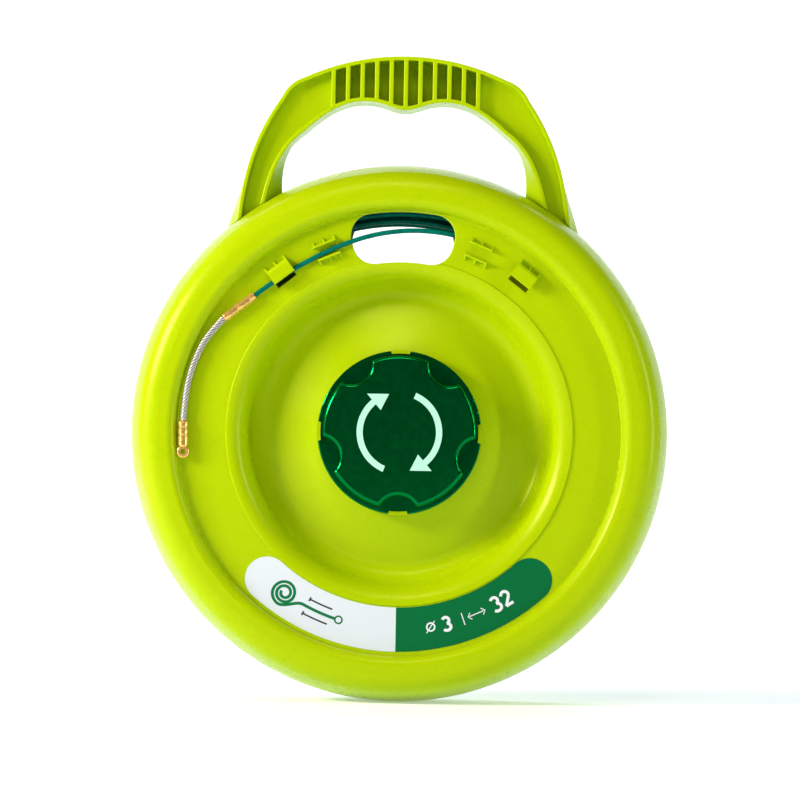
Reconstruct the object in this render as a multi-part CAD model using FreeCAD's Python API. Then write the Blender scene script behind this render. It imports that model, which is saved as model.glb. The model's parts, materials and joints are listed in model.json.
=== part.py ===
import FreeCAD, Part
import math
import os

# Fish tape reel. Millimetres. The reel stands on its rim at Z = 0, +Z up, and its front faces -Y.
# Pieces are drawn about the case axis, which runs along Y, and save() lifts them to the axis height.
# A place on the front is a clock angle (degrees, clockwise from the top, seen from the front),
# a distance from the case axis, and a depth along Y.

V = FreeCAD.Vector
ORIGIN = V(0, 0, 0)
AXIS = V(0, 1, 0)
TINY = 0.02

# Case
CASE_R = 165.0
CASE_HALF_DEPTH = 38.0
WALL = 2.4
RIM_WIDTH = 18.0          # how far the rounded rim reaches in from the largest radius
RIM_FLANK_R = 78.0        # the rim's gentle flank, and its tighter crest, meet as tangent arcs
RIM_CREST_R = 13.0
CREST_IN_R = 135.5        # where the raised rim drops to the recessed front face
CREST_ROUND = 6.5
FACE_CORNER = 0.8
FACE_Y = -30.5            # the recessed front face
FACE_IN_R = 105.8
LIP_Y = -31.3             # the rounded lip round the dish stands a little proud of the face
LIP_STEP = 0.5
LIP_ROUND = 12.0
DISH_WALL_DRAFT = 18.0    # degrees from the axis
DISH_WALL_LENGTH = 27.0
DISH_ROUND = 10.0
CONE_END_R = 48.0
HUB_BORE_R = 12.5
HUB_TUBE_R = 16.0
GUARD_R = 100.5           # the ring wall that keeps the coil away from the hub
GUARD_WALL = 2.0
CONE_RIB_COUNT = 12
CONE_RIB_W = 1.8
CONE_RIB_END_R = 52.0
CONE_RIB_Y = -12.5
LAP_LENGTH = 3.5          # the front shell's skirt inside the rear shell's rim
LAP_THICK = 1.35
LAP_FIT = 0.25
LAP_ROOT_Y = -6.0
LAP_TENON_GAP = 5.2

# Window through both shells
WINDOW_IN_R = 103.7
WINDOW_OUT_R = 134.4
WINDOW_HALF_ANGLE = 15.0
WINDOW_CORNER = 13.0
WINDOW_EDGE = 0.7

# Case screws
SCREW_COUNT = 6
SCREW_CIRCLE_R = 82.0
SCREW_R = 1.75
SCREW_HEAD_R = 3.6
SCREW_SEAT_Y = 5.6
SCREW_HEAD_H = 2.4
SCREW_TIP_Y = -5.0
BOSS_R = 5.0
BOSS_LENGTH = 7.4

# Rails and hook clips on the front face
RAIL_ANGLE = 22.75
HOOK_ANGLE = 37.6
RAIL_LENGTH = 14.6
RAIL_HEIGHT = 4.0
RAIL_WIDTH = 1.5
RAIL_OUT_R = 123.7
RAIL_IN_R = 115.3
GUSSET_W = 1.2
GUSSET_REACH = 3.2
HOOK_WIDTH = 14.8
HOOK_BACK_R = 126.4
HOOK_WALL = 1.6
HOOK_TIP_R = 117.0
HOOK_LIP = 1.4            # the lip at the hook's tip, along the case radius
HOOK_LIP_DROP = 1.1
HOOK_TOP_Y = -36.9
HOOK_TOP_WALL = 1.5
HOOK_SLOT_W = 13.6
HOOK_SLOT_IN_R = 114.4
HOOK_SLOT_OUT_R = 124.2

# Handle
HANDLE_HALF_DEPTH = 14.0
FLANGE = 2.4
GRIP_RIB_PITCH = 8.9
GRIP_RIB_COUNT = 11
GRIP_RIB_W = 2.7
LEG_WEB_Y = -7.0
HANDLE_EDGE = 0.6
WEB = 2.6
TENON_ANGLE = 34.5
TENON_W = 15.0
TENON_HALF_DEPTH = 8.0
TENON_IN_R = 158.9
TENON_FLANGE_W = 24.0
TENON_FLANGE_HALF_DEPTH = 11.0
TENON_FLANGE_R = (159.0, 163.0)
LEG_RIB_ANGLES = (18, 24)
LEG_RIB_W = 2.0
POCKET_CORNER = 0.6

# Hub, knob and spindle
SPINDLE_R = 9.95
BUSH_BORE_R = 10.0
BUSH_FLANGE_R = 18.0
BUSH_FLANGE = 1.5
HUB_FACE_Y = -20.2
RUN_GAP = 0.1
WASHER = 0.8
KNOB_BACK_Y = HUB_FACE_Y - BUSH_FLANGE - RUN_GAP - WASHER
HUB_PLATE = 2.6
HUB_BOSS_Y = KNOB_BACK_Y - 7.8
FLANGE_TOP_Y = KNOB_BACK_Y - HUB_PLATE - 2.1
SQUARE_HALF = 6.5
SPINDLE_SCREW_R = 2.5
KNOB_R = 50.0
KNOB_DISC_R = 46.6
KNOB_TOP_Y = -37.0
CAP_EDGE = 2.3
CAP_CORNER = 1.6
CAP_FLANGE_EDGE = 0.8
CAP_BORE_R = 36.4
CAP_TOP_WALL = 2.5
SKIRT_IN_R = 48.0
SKIRT_DROP = 0.9          # how far the skirt reaches behind the hub's plate
SCALLOPS = 5
SCALLOP_R = 12.5
SCALLOP_CENTRE_R = 51.0
PLATE_R = 46.0            # the knob hub's plate, its boss and its ribs
PLATE_BOSS_R = 15.0
PLATE_RIB_COUNT = 6
PLATE_RIB_W = 2.0
PLATE_RIB_END_R = 34.0
CLIP_COUNT = 4            # the hooks on the hub's plate that hold the cap
CLIP_W = 11.0
CLIP_OUT_R = 50.3
CLIP_ARM_IN_R = 48.95
CLIP_LIP_IN_R = 48.1
CLIP_LIP = 1.2
NOTCH_W = 11.6
NOTCH_IN_R = 48.85
LOW_NOTCH_IN_R = 46.05
EMBLEM_IN_R = 22.2        # the two arrows on the cap
EMBLEM_OUT_R = 26.0
EMBLEM_H = 0.5
ARROW_START = 22
ARROW_END = 140
ARROW_TIP = 164
ARROW_HALF_W = 6.5

# Label
LABEL_IN_R = 106.4
LABEL_OUT_R = 133.2
LABEL_ANGLES = (131.0, 227.5)
LABEL_CORNER = 13.3
LABEL_THICK = 0.2

# Tape, leader and fittings
TAPE_R = 1.5
LEADER_R = 1.95
COIL_IN_R = 124.6
COIL_OUT_R = 157.2
COIL_HALF_DEPTH = 12.0

# Route of the uncoiled tape, from inside the coil to its ferrule: clock angle, radius, depth.
TAPE_ROUTE = [(60, 131.0, -9.5), (46, 129.6, -13.6), (32, 128.1, -18.6), (18.5, 126.4, -24.2),
              (5.5, 124.6, -29.0), (-7, 122.2, -32.0), (-19, 119.6, -32.5), (-31, 118.4, -32.5),
              (-40, 119.3, -32.7), (-47.7, 121.2, -33.4)]
# Route of the steel leader, from the ferrule to the eye fitting.
LEADER_ROUTE = [(-58, 127.2, -33.6), (-62.5, 129.5, -33.7), (-67.7, 131.4, -33.8),
                (-74.5, 132.2, -33.9), (-81.3, 132.0, -34.1), (-88, 131.5, -34.4)]
EYE_CENTRE = (-96.2, 131.9, -34.7)
EYE_OUT_R = 3.8
EYE_HOLE_R = 1.55
EYE_THICK = 2.8
EYE_EDGE = 0.9
# Crimped sleeves: radius at the mouths, over the barrel, in the grooves.
TAPE_SLEEVE = (2.2, 2.7, 2.4)
TAIL_SLEEVE = (2.1, 2.6, 2.3)
EYE_SLEEVE = (2.6, 3.1, 2.8)
TAIL_LENGTH = 14.0
TAIL_R = 148.0
TAIL_ANGLE = 152
TAIL_Y = COIL_HALF_DEPTH + 2.8


def place(angle, radius, depth):
    """The point at a clock angle, a distance from the case axis and a depth."""
    a = math.radians(angle)
    return V(radius * math.sin(a), depth, radius * math.cos(a))


def turned(shape, angle):
    """A copy of a shape drawn at the top of the case, turned clockwise to a clock angle."""
    copy = shape.copy()
    copy.rotate(ORIGIN, AXIS, angle)
    return copy


def mirrored(shape):
    """The same shape on the other side of the parting plane."""
    return shape.mirror(ORIGIN, AXIS)


def block(x, y, z):
    """A box between the given pairs of coordinates."""
    return Part.makeBox(x[1] - x[0], y[1] - y[0], z[1] - z[0], V(x[0], y[0], z[0]))


def disc(radius, y0, y1, centre=ORIGIN):
    """A round plate or rod along the case axis, between two depths."""
    return Part.makeCylinder(radius, y1 - y0, V(centre.x, y0, centre.z), AXIS)


def ring(r_out, r_in, y0, y1):
    return disc(r_out, y0, y1).cut(disc(r_in, y0 - 1, y1 + 1))


def fuse(shapes):
    whole = shapes[0]
    for shape in shapes[1:]:
        whole = whole.fuse(shape)
    return whole.removeSplitter()


def rounded_edges(points):
    """Straight edges through 2-D points (x, y, radius), with an arc of that radius at each corner."""
    edges = []
    last = V(points[0][0], points[0][1], 0)
    for before, corner, after in zip(points, points[1:], points[2:]):
        c = V(corner[0], corner[1], 0)
        to_a = (V(before[0], before[1], 0) - c).normalize()
        to_b = (V(after[0], after[1], 0) - c).normalize()
        half = to_a.getAngle(to_b) / 2
        if corner[2] > 0:
            reach = corner[2] / math.tan(half)
            start, end = c + to_a * reach, c + to_b * reach
            middle = c + (to_a + to_b).normalize() * (corner[2] / math.sin(half) - corner[2])
            if (start - last).Length > 1e-6:
                edges.append(Part.LineSegment(last, start).toShape())
            edges.append(Part.Arc(start, middle, end).toShape())
            last = end
        else:
            edges.append(Part.LineSegment(last, c).toShape())
            last = c
    edges.append(Part.LineSegment(last, V(points[-1][0], points[-1][1], 0)).toShape())
    return edges


def offset_points(points, distance):
    """The same open outline moved to its left by a distance, with its corner radii adjusted."""
    moved = []
    flat = [V(p[0], p[1], 0) for p in points]
    for i, p in enumerate(flat):
        a = (p - flat[i - 1]).normalize() if i else (flat[1] - p).normalize()
        b = (flat[i + 1] - p).normalize() if i + 1 < len(flat) else a
        left_a, left_b = V(-a.y, a.x, 0), V(-b.y, b.x, 0)
        bisector = (left_a + left_b).normalize()
        q = p + bisector * (distance / bisector.dot(left_a))
        turn = a.x * b.y - a.y * b.x
        radius = points[i][2]
        if radius > 0:
            radius = radius - distance if turn > 0 else radius + distance
        moved.append((q.x, q.y, max(radius, 0)))
    return moved


def revolved(edges):
    face = Part.Face(Part.Wire(Part.__sortEdges__(edges)))
    return face.revolve(ORIGIN, AXIS, 360)


def rim_edges(wall):
    """The rim from its largest radius to its crest, that far inside the surface: two tangent arcs."""
    flank_r = RIM_FLANK_R - wall
    crest_r = RIM_CREST_R - wall
    flank_centre = V(CASE_R - RIM_FLANK_R, 0, 0)
    crest_centre = V(CASE_R - RIM_WIDTH, RIM_CREST_R - CASE_HALF_DEPTH, 0)
    out = (crest_centre - flank_centre).normalize()
    meet = crest_centre + out * crest_r
    half_turn = math.atan2(-out.y, out.x) / 2
    flank_middle = flank_centre + V(math.cos(half_turn), -math.sin(half_turn), 0) * flank_r
    crest_middle = crest_centre + (out + V(0, -1, 0)).normalize() * crest_r
    start = flank_centre + V(flank_r, 0, 0)
    end = crest_centre + V(0, -crest_r, 0)
    return [Part.Arc(start, flank_middle, meet).toShape(),
            Part.Arc(meet, crest_middle, end).toShape()], start, end


def face_outline():
    """The shell's front, from the crest of the rim in to the hub bore, as corner points."""
    crest_x = CASE_R - RIM_WIDTH
    lip_in_r = FACE_IN_R - LIP_STEP
    wall_dir = (-math.sin(math.radians(DISH_WALL_DRAFT)), math.cos(math.radians(DISH_WALL_DRAFT)))
    lip = (lip_in_r - LIP_ROUND * math.tan(math.radians(90 - DISH_WALL_DRAFT) / 2), LIP_Y)
    valley = (lip[0] + DISH_WALL_LENGTH * wall_dir[0], lip[1] + DISH_WALL_LENGTH * wall_dir[1])
    return [(crest_x, -CASE_HALF_DEPTH, 0), (CREST_IN_R, -CASE_HALF_DEPTH, CREST_ROUND),
            (CREST_IN_R, FACE_Y, FACE_CORNER), (FACE_IN_R, FACE_Y, 0), (lip_in_r, LIP_Y, 0),
            (lip[0], lip[1], LIP_ROUND), (valley[0], valley[1], DISH_ROUND),
            (CONE_END_R, HUB_FACE_Y, DISH_ROUND), (HUB_BORE_R, HUB_FACE_Y, 0)]


def skin_points():
    """The inside of the front, a wall thickness behind it; the lip's small step isn't repeated."""
    outside = face_outline()
    plain = outside[:3] + [(outside[5][0], FACE_Y, outside[5][2])] + outside[6:]
    inside = offset_points(plain, -WALL)
    return [(inside[0][0], -CASE_HALF_DEPTH + WALL, 0)] + inside[1:]


def shell_body():
    """The revolved wall of the front shell, from the parting plane to the hub bore."""
    outer, outer_start, _ = rim_edges(0)
    inner, inner_start, _ = rim_edges(WALL)
    outside, inside = face_outline(), skin_points()
    edges = outer + inner + rounded_edges(outside)
    edges += rounded_edges(inside)
    edges.append(Part.LineSegment(outer_start, inner_start).toShape())
    edges.append(Part.LineSegment(V(outside[-1][0], outside[-1][1], 0),
                                  V(inside[-1][0], inside[-1][1], 0)).toShape())
    return revolved(edges)


def case_envelope(wall):
    """Everything inside the rim's surface, or inside it less a wall."""
    edges, start, end = rim_edges(wall)
    edges += [Part.LineSegment(end, V(0, end.y, 0)).toShape(),
              Part.LineSegment(V(0, end.y, 0), ORIGIN).toShape(),
              Part.LineSegment(ORIGIN, start).toShape()]
    half = revolved(edges)
    return half.fuse(mirrored(half)).removeSplitter()


def arc_plate(r_in, r_out, angle_a, angle_b, corner, y0, y1):
    """A plate between two radii and two clock angles, with rounded corners."""
    middle = (angle_a + angle_b) / 2
    p = [place(angle_a, r_in, y0), place(angle_a, r_out, y0),
         place(angle_b, r_out, y0), place(angle_b, r_in, y0)]
    edges = [Part.LineSegment(p[0], p[1]).toShape(),
             Part.Arc(p[1], place(middle, r_out, y0), p[2]).toShape(),
             Part.LineSegment(p[2], p[3]).toShape(),
             Part.Arc(p[3], place(middle, r_in, y0), p[0]).toShape()]
    plate = Part.Face(Part.Wire(edges)).extrude(V(0, y1 - y0, 0))
    upright = [e for e in plate.Edges
               if abs(e.Vertexes[0].Point.y - e.Vertexes[-1].Point.y) > abs(y1 - y0) / 2]
    return plate.makeFillet(corner, upright)


def window_cut():
    return arc_plate(WINDOW_IN_R, WINDOW_OUT_R, -WINDOW_HALF_ANGLE, WINDOW_HALF_ANGLE,
                     WINDOW_CORNER, -60, 60)


def edges_at(shape, depth):
    """The edges that lie in the plane at one depth."""
    return [e for e in shape.Edges
            if abs(e.BoundBox.YMin - depth) < 0.001 and abs(e.BoundBox.YMax - depth) < 0.001]


def prism(points, thickness, direction):
    """A flat outline of 3-D points, given a thickness along a direction, half to each side."""
    shift = V(direction).normalize() * (-thickness / 2)
    wire = Part.makePolygon([V(*p) + shift for p in points + points[:1]])
    return Part.Face(wire).extrude(shift * -2)


def gussets(radius, reach, height, length):
    """Three small ribs that stiffen a rail or hook from one side; reach is signed, outwards."""
    ribs = []
    for x in (-(length - GUSSET_W) / 2, 0, (length - GUSSET_W) / 2):
        outline = [(x, FACE_Y + 0.5, radius), (x, FACE_Y + 0.5, radius + reach),
                   (x, FACE_Y - 0.5, radius + reach), (x, FACE_Y - height, radius)]
        ribs.append(prism(outline, GUSSET_W, (1, 0, 0)))
    return ribs


def rail(radius, side):
    """A short straight rail with its gussets on the outer (+1) or inner (-1) side."""
    wall = block((-RAIL_LENGTH / 2, RAIL_LENGTH / 2), (FACE_Y - RAIL_HEIGHT, FACE_Y + 0.5),
                 (radius - RAIL_WIDTH / 2, radius + RAIL_WIDTH / 2))
    wall = wall.makeFillet(0.5, [e for e in wall.Edges if e.BoundBox.YMax < FACE_Y])
    return fuse([wall] + gussets(radius, side * GUSSET_REACH, RAIL_HEIGHT - 0.8, RAIL_LENGTH))


def hook():
    """A tab that arches over the tape from its outer side, with a small lip at its tip."""
    root_y = FACE_Y + 0.5
    under_y = HOOK_TOP_Y + HOOK_TOP_WALL
    front_r = HOOK_BACK_R - HOOK_WALL
    lip_r = HOOK_TIP_R + HOOK_LIP
    section = [(HOOK_BACK_R, root_y, 0), (HOOK_BACK_R, HOOK_TOP_Y, 2.6),
               (HOOK_TIP_R, HOOK_TOP_Y, 0.7), (HOOK_TIP_R, under_y + HOOK_LIP_DROP, 0.3),
               (lip_r, under_y + HOOK_LIP_DROP, 0.3), (lip_r, under_y, 0.5),
               (front_r, under_y, 1.2), (front_r, root_y, 0)]
    edges = rounded_edges(section)
    edges.append(Part.LineSegment(V(front_r, root_y, 0), V(HOOK_BACK_R, root_y, 0)).toShape())
    tab = Part.Face(Part.Wire(Part.__sortEdges__(edges))).extrude(V(0, 0, HOOK_WIDTH))
    tab.rotate(ORIGIN, AXIS, -90)
    tab.translate(V(HOOK_WIDTH / 2, 0, 0) if tab.BoundBox.XMax < 1 else V(-HOOK_WIDTH / 2, 0, 0))
    return fuse([tab] + gussets(HOOK_BACK_R - 0.4, GUSSET_REACH + 0.2, 4.6, HOOK_WIDTH))


def hook_slot():
    """The opening in the face under a hook's tip."""
    return block((-HOOK_SLOT_W / 2, HOOK_SLOT_W / 2), (FACE_Y - 1, FACE_Y + WALL + 1),
                 (HOOK_SLOT_IN_R, HOOK_SLOT_OUT_R))


def tenon(angle, grow):
    """The block by which a handle leg passes through the rim, larger by a clearance."""
    radial = (TENON_IN_R, CASE_R + 3)
    shape = block((-TENON_W / 2 - grow, TENON_W / 2 + grow),
                  (-TENON_HALF_DEPTH - grow, TENON_HALF_DEPTH + grow), radial)
    return turned(shape, angle)


def shell_common(window, tenons):
    """What both shells share, drawn for the front one."""
    shape = shell_body()
    hub_tube = ring(HUB_TUBE_R, HUB_BORE_R, HUB_FACE_Y + WALL - 0.5, 0)
    guard = ring(GUARD_R + GUARD_WALL, GUARD_R, FACE_Y + WALL - 0.6, 0)
    ribs = []
    rib_step = 360 / CONE_RIB_COUNT
    for i in range(CONE_RIB_COUNT):
        rib = block((-CONE_RIB_W / 2, CONE_RIB_W / 2), (HUB_FACE_Y + WALL - 0.4, CONE_RIB_Y),
                    (HUB_TUBE_R - 0.5, CONE_RIB_END_R))
        ribs.append(turned(rib, (i + 0.5) * rib_step))
    shape = fuse([shape, hub_tube, guard])
    inside = case_envelope(WALL / 2)
    clipped = [r.common(inside) for r in ribs]
    shape = fuse([shape] + clipped)
    bosses = [disc(BOSS_R, -BOSS_LENGTH, 0, place(i * 360 / SCREW_COUNT, SCREW_CIRCLE_R, 0))
              for i in range(SCREW_COUNT)]
    shape = fuse([shape] + bosses)
    shape = shape.cut(window)
    reach = WINDOW_OUT_R * math.sin(math.radians(WINDOW_HALF_ANGLE)) + 1
    window_edges = [e for e in edges_at(shape, FACE_Y)
                    if e.BoundBox.XMin > -reach and e.BoundBox.XMax < reach and e.BoundBox.ZMin > 0]
    shape = shape.makeFillet(WINDOW_EDGE, window_edges)
    for t in tenons:
        shape = shape.cut(t)
    return shape


def front_shell(common):
    lap_out_r = CASE_R - WALL - LAP_FIT
    lap_in_r = lap_out_r - LAP_THICK
    lap = ring(lap_out_r, lap_in_r, LAP_ROOT_Y, LAP_LENGTH)
    root = ring(CASE_R - WALL / 2, lap_in_r, LAP_ROOT_Y, -0.5).common(case_envelope(1))
    lap = lap.fuse(root)
    for side in (-1, 1):
        lap = lap.cut(tenon(side * TENON_ANGLE, LAP_TENON_GAP))
    shape = fuse([common, lap])
    for side in (-1, 1):
        shape = fuse([shape, turned(rail(RAIL_OUT_R, 1), side * RAIL_ANGLE),
                      turned(rail(RAIL_IN_R, -1), side * RAIL_ANGLE)])
        shape = shape.cut(turned(hook_slot(), side * HOOK_ANGLE))
        shape = fuse([shape, turned(hook(), side * HOOK_ANGLE)])
    for i in range(SCREW_COUNT):
        at = place(i * 360 / SCREW_COUNT, SCREW_CIRCLE_R, 0)
        shape = shape.cut(disc(SCREW_R, SCREW_TIP_Y - 0.6, 1, at))
    return shape


def rear_shell(common):
    shape = mirrored(common)
    for i in range(SCREW_COUNT):
        at = place(i * 360 / SCREW_COUNT, SCREW_CIRCLE_R, 0)
        shape = shape.cut(disc(SCREW_R + 0.2, -1, 20, at))
        shape = shape.cut(disc(SCREW_HEAD_R + 0.5, SCREW_SEAT_Y, 20, at))
    return shape


def case_screws():
    """Pan-head screws driven from the rear, all alike."""
    screws = []
    for i in range(SCREW_COUNT):
        at = place(i * 360 / SCREW_COUNT, SCREW_CIRCLE_R, 0)
        head = disc(SCREW_HEAD_R, SCREW_SEAT_Y, SCREW_SEAT_Y + SCREW_HEAD_H, at)
        top = [e for e in head.Edges if e.BoundBox.YMin > SCREW_SEAT_Y + SCREW_HEAD_H - 0.1]
        head = head.makeFillet(1.2, top)
        screw = fuse([head, disc(SCREW_R - TINY, SCREW_TIP_Y, SCREW_SEAT_Y + 0.2, at)])
        for cross in (0, 90):
            slot = block((-2.2, 2.2), (SCREW_SEAT_Y + 0.9, 20), (-0.45, 0.45))
            slot.rotate(ORIGIN, AXIS, cross + i * 17)
            slot.translate(at)
            screw = screw.cut(slot)
        screws.append(screw)
    return Part.makeCompound(screws)


def spline(points):
    curve = Part.BSplineCurve()
    curve.interpolate([V(*p) for p in points])
    return curve.toShape()


def handle_outline(y, flare):
    """The handle seen from the front at one depth: flare 0 at its faces, 1 at the parting plane."""
    def at(points):
        return [(x, y, z) for x, z in points]

    def across(points):
        return [(-x, z) for x, z in reversed(points)]

    outer_foot = [(96.0, 163.5), (101.0 + 3.2 * flare, 138), (102.6 + 8.0 * flare, 117)]
    inner_foot = [(90.0 - 18.5 * flare, 119 + 7 * flare), (85.3 - 10.3 * flare, 141 + 4 * flare),
                  (77.6 - 3.6 * flare, 165.0), (61.0, 184.9)]
    grip_wave = [(61.0, 184.9), (50, 194.2), (40, 200.0), (31, 202.8), (22.5, 203.3), (14, 202.0),
                 (7, 199.6), (0, 198.4)]
    grip_wave = grip_wave + across(grip_wave)[1:]
    root_r = (outer_foot[-1], inner_foot[0])
    edges = [Part.Arc(*[V(*p) for p in at([(-62, 217.6), (0, 231.5), (62, 217.6)])]).toShape(),
             Part.Arc(*[V(*p) for p in at([(62, 217.6), (70.6, 212.7), (76.0, 205.2)])]).toShape(),
             Part.Arc(*[V(*p) for p in at([(76.0, 205.2), (88.1, 184.5), (96.0, 163.5)])]).toShape(),
             spline(at(outer_foot)),
             Part.LineSegment(*[V(*p) for p in at(root_r)]).toShape(),
             spline(at(inner_foot)),
             spline(at(grip_wave)),
             spline(at(across(inner_foot))),
             Part.LineSegment(*[V(*p) for p in at(across(root_r))]).toShape(),
             spline(at(across(outer_foot))),
             Part.Arc(*[V(*p) for p in at([(-96.0, 163.5), (-88.1, 184.5), (-76.0, 205.2)])]).toShape(),
             Part.Arc(*[V(*p) for p in at([(-76.0, 205.2), (-70.6, 212.7), (-62, 217.6)])]).toShape()]
    return Part.Wire(Part.__sortEdges__(edges))


def handle_blank():
    """The handle's full form without recesses: two lofts that meet at the parting plane."""
    front = Part.makeLoft([handle_outline(-HANDLE_HALF_DEPTH, 0.0), handle_outline(0.0, 1.0)],
                          True, True)
    return front.fuse(mirrored(front)).removeSplitter()


def recess_faces():
    """The area inside the handle's flanges, as a face at depth 0."""
    edges = []
    for edge in handle_outline(0.0, 0.0).makeOffset2D(-FLANGE).Edges:
        if not isinstance(edge.Curve, (Part.Line, Part.Circle)):
            edge = spline(edge.discretize(Number=15))
        edges.append(edge)
    return Part.Face(Part.Wire(Part.__sortEdges__(edges)))


def carry_handle():
    """A C-shaped bail with a flanged section: ten finger pockets in the grip, channels in the legs."""
    shape = handle_blank()
    area = recess_faces()
    rib_end = (GRIP_RIB_COUNT - 1) / 2 * GRIP_RIB_PITCH
    through = area.extrude(V(0, 2 * HANDLE_HALF_DEPTH + 2, 0))
    through.translate(V(0, -HANDLE_HALF_DEPTH - 1, 0))
    for i in range(GRIP_RIB_COUNT - 1):
        left = -rib_end + i * GRIP_RIB_PITCH + GRIP_RIB_W / 2
        slot = block((left, left + GRIP_RIB_PITCH - GRIP_RIB_W), (-30, 30), (150, 260))
        pocket = through.common(slot)
        pocket = pocket.cut(block((-200, 200), (-WEB / 2, WEB / 2), (0, 300)))
        upright = [e for e in pocket.Edges if e.BoundBox.YLength > HANDLE_HALF_DEPTH - 3
                   and e.BoundBox.XLength < 0.01]
        shape = shape.cut(pocket.makeFillet(POCKET_CORNER, upright))
    leg_start = rib_end + GRIP_RIB_W / 2
    for side in (-1, 1):
        x = sorted((side * leg_start, side * 140))
        front = through.common(block(x, (-30, LEG_WEB_Y - WEB / 2), (0, 300)))
        rear = through.common(block(x, (LEG_WEB_Y + WEB / 2, 30), (0, 300)))
        for angle in LEG_RIB_ANGLES:
            rib = block((-LEG_RIB_W / 2, LEG_RIB_W / 2), (-30, HANDLE_HALF_DEPTH - 2.5), (60, 260))
            rear = rear.cut(turned(rib, side * angle))
        shape = shape.cut(front).cut(rear)
    shape = shape.cut(case_envelope(-0.1))
    inside = case_envelope(WALL + 0.05)
    for side in (-1, 1):
        flange = block((-TENON_FLANGE_W / 2, TENON_FLANGE_W / 2),
                       (-TENON_FLANGE_HALF_DEPTH, TENON_FLANGE_HALF_DEPTH), TENON_FLANGE_R)
        flange = turned(flange, side * TENON_ANGLE).common(inside)
        shape = fuse([shape, tenon(side * TENON_ANGLE, 0), flange])
    for face_y in (-HANDLE_HALF_DEPTH, HANDLE_HALF_DEPTH):
        shape = shape.makeFillet(HANDLE_EDGE, edges_at(shape, face_y))
    return shape


def front_bush():
    """A flanged bush pressed into the hub tube."""
    flange_y = HUB_FACE_Y - BUSH_FLANGE
    sleeve = ring(HUB_BORE_R - TINY, BUSH_BORE_R, HUB_FACE_Y - 0.5, -3)
    return fuse([ring(BUSH_FLANGE_R, BUSH_BORE_R, flange_y, HUB_FACE_Y), sleeve])


def thrust_washer():
    return ring(BUSH_FLANGE_R - 1, BUSH_BORE_R + 0.1, KNOB_BACK_Y, KNOB_BACK_Y + WASHER)


def square_rod(half, y0, y1):
    return block((-half, half), (y0, y1), (-half, half))


def spindle():
    """The axle: round in the bushes, square in the two knob hubs, tapped at both ends."""
    shape = disc(SPINDLE_R, KNOB_BACK_Y, -KNOB_BACK_Y)
    shape = fuse([shape, square_rod(SQUARE_HALF, HUB_BOSS_Y + 0.4, -HUB_BOSS_Y - 0.4)])
    for y0, y1 in ((-60, HUB_BOSS_Y + 15), (-HUB_BOSS_Y - 15, 60)):
        shape = shape.cut(disc(SPINDLE_SCREW_R, y0, y1))
    return shape


def spindle_washer():
    return ring(9.0, SPINDLE_SCREW_R + 0.3, HUB_BOSS_Y - 1.0, HUB_BOSS_Y)


def spindle_screw():
    """A socket-head screw that holds a knob hub on the spindle's end."""
    head_y = HUB_BOSS_Y - 1.0
    head = disc(4.6, head_y - 2.4, head_y)
    head = head.makeFillet(0.5, [e for e in head.Edges if e.BoundBox.YMax < head_y - 2.3])
    shank = disc(SPINDLE_SCREW_R - TINY, head_y - 0.2, HUB_BOSS_Y + 14)
    hexagon = [V(2.3 * math.cos(math.radians(a)), 0, 2.3 * math.sin(math.radians(a)))
               for a in range(0, 360, 60)]
    socket = Part.Face(Part.makePolygon(hexagon + hexagon[:1])).extrude(V(0, 1.6, 0))
    socket.translate(V(0, head_y - 2.5, 0))
    return fuse([head, shank]).cut(socket)


def tab_sector(r_in, r_out, y0, y1, width):
    """A short piece of a ring at the top of the knob, with parallel sides."""
    return ring(r_out, r_in, y0, y1).common(block((-width / 2, width / 2), (-60, 60), (0, 80)))


def knob_hub():
    """The carrier plate: a square bore for the spindle and four hooks that hold the cap."""
    plate_y = KNOB_BACK_Y - HUB_PLATE
    plate = disc(PLATE_R, plate_y, KNOB_BACK_Y)
    boss = disc(PLATE_BOSS_R, HUB_BOSS_Y, KNOB_BACK_Y)
    parts = [plate, boss]
    for i in range(PLATE_RIB_COUNT):
        rib = block((-PLATE_RIB_W / 2, PLATE_RIB_W / 2), (HUB_BOSS_Y + 2.5, KNOB_BACK_Y - 1),
                    (PLATE_BOSS_R - 0.5, PLATE_RIB_END_R))
        parts.append(turned(rib, (i + 0.5) * 360 / PLATE_RIB_COUNT))
    lip_y = FLANGE_TOP_Y - RUN_GAP
    tip_y = lip_y - CLIP_LIP
    for i in range(CLIP_COUNT):
        lug = tab_sector(PLATE_R - 1, CLIP_OUT_R, plate_y, KNOB_BACK_Y, CLIP_W)
        arm = tab_sector(CLIP_ARM_IN_R, CLIP_OUT_R, tip_y, KNOB_BACK_Y, CLIP_W)
        lip = tab_sector(CLIP_LIP_IN_R, CLIP_OUT_R, tip_y, lip_y, CLIP_W)
        lip = lip.makeChamfer(0.4, [e for e in lip.Edges if e.BoundBox.YMax < tip_y + 0.1
                                    and e.BoundBox.ZMin > CLIP_OUT_R - 1.1])
        parts += [turned(p, i * 360 / CLIP_COUNT) for p in (lug, arm, lip)]
    return fuse(parts).cut(square_rod(SQUARE_HALF + 0.03, -60, 60))


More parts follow.
